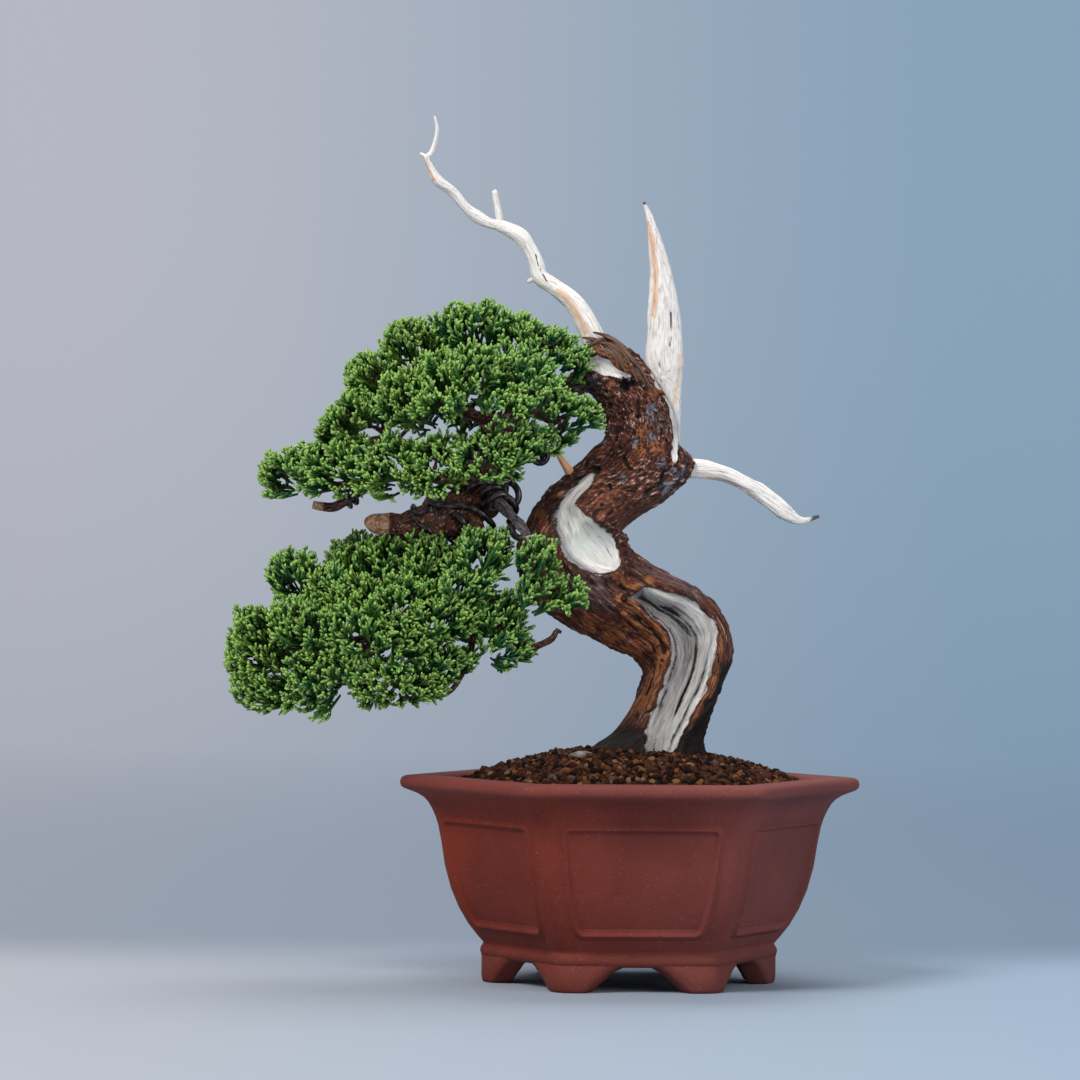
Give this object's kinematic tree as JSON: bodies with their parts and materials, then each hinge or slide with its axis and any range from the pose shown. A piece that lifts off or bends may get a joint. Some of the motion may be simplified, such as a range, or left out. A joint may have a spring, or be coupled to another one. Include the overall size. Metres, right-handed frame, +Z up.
{
  "type": "itoigawa juniper bonsai in a pot",
  "caption": "Small juniper bonsai with a leaning trunk, stripped deadwood, a wired branch and two pads of foliage, in a six-sided unglazed clay pot; stands on a shelf or table.",
  "frame": {"origin": "middle of the whole model's box, at the level of the soles of the pot's feet", "axes": "+Z up; the front, which shows the bare wood, faces -Y; the foliage lies towards -X and the pot stands at +X"},
  "size_m": [0.216, 0.1422, 0.2983],
  "materials": {
    "clay": "unglazed red-brown clay, matt, with fine pale specks",
    "soil": "porous brown and orange granules, 2 to 3 mm",
    "stone": "grey, weathered",
    "bark": "fibrous red-brown juniper bark with grey and orange flakes",
    "deadwood": "bleached bare wood with long grain",
    "fresh_wood": "freshly cut orange wood",
    "foliage": "green scale leaves on cord-like branchlets, paler at their tips",
    "wire": "dark bronze anodised training wire"
  },
  "bodies": {
    "root": {"pot": "clay", "soil": "soil", "pebble": "stone", "tie_wire": "wire", "trunk": "bark", "jin_apex": "deadwood", "jin_spear": "deadwood", "jin_right": "deadwood", "jin_stub": "fresh_wood", "wire_upper": "wire", "wire_main": "wire", "wire_cross": "wire", "wire_lower": "wire", "wire_shelf": "wire", "wire_hanging": "wire", "foliage_crown": "foliage", "foliage_crown_right": "foliage", "foliage_front_right": "foliage", "foliage_near_trunk": "foliage", "foliage_front_middle": "foliage", "foliage_fingers": "foliage", "foliage_left_top": "foliage", "foliage_left_high": "foliage", "foliage_left_face": "foliage", "foliage_shelf_right": "foliage", "foliage_shelf_inner": "foliage", "foliage_shelf_middle": "foliage", "foliage_shelf_outer": "foliage", "foliage_shelf_tip": "foliage", "foliage_back_crown": "foliage", "foliage_back_right": "foliage", "foliage_back_middle": "foliage", "foliage_back_left": "foliage", "foliage_low_tip_top": "foliage", "foliage_low_top_left": "foliage", "foliage_low_top_middle": "foliage", "foliage_low_top_right": "foliage", "foliage_low_light": "foliage", "foliage_low_trunk": "foliage", "foliage_low_left_top": "foliage", "foliage_low_left_mid": "foliage", "foliage_low_left_end": "foliage", "foliage_low_left_drop": "foliage", "foliage_low_left_face": "foliage", "foliage_low_front": "foliage", "foliage_low_hanging": "foliage", "foliage_low_middle": "foliage", "foliage_low_middle_left": "foliage", "foliage_low_front_left": "foliage", "foliage_low_right": "foliage", "foliage_low_right_end": "foliage", "foliage_low_back_top": "foliage", "foliage_low_back_left": "foliage", "foliage_low_back_right": "foliage", "foliage_low_back_end": "foliage"}
  },
  "joints": []
}
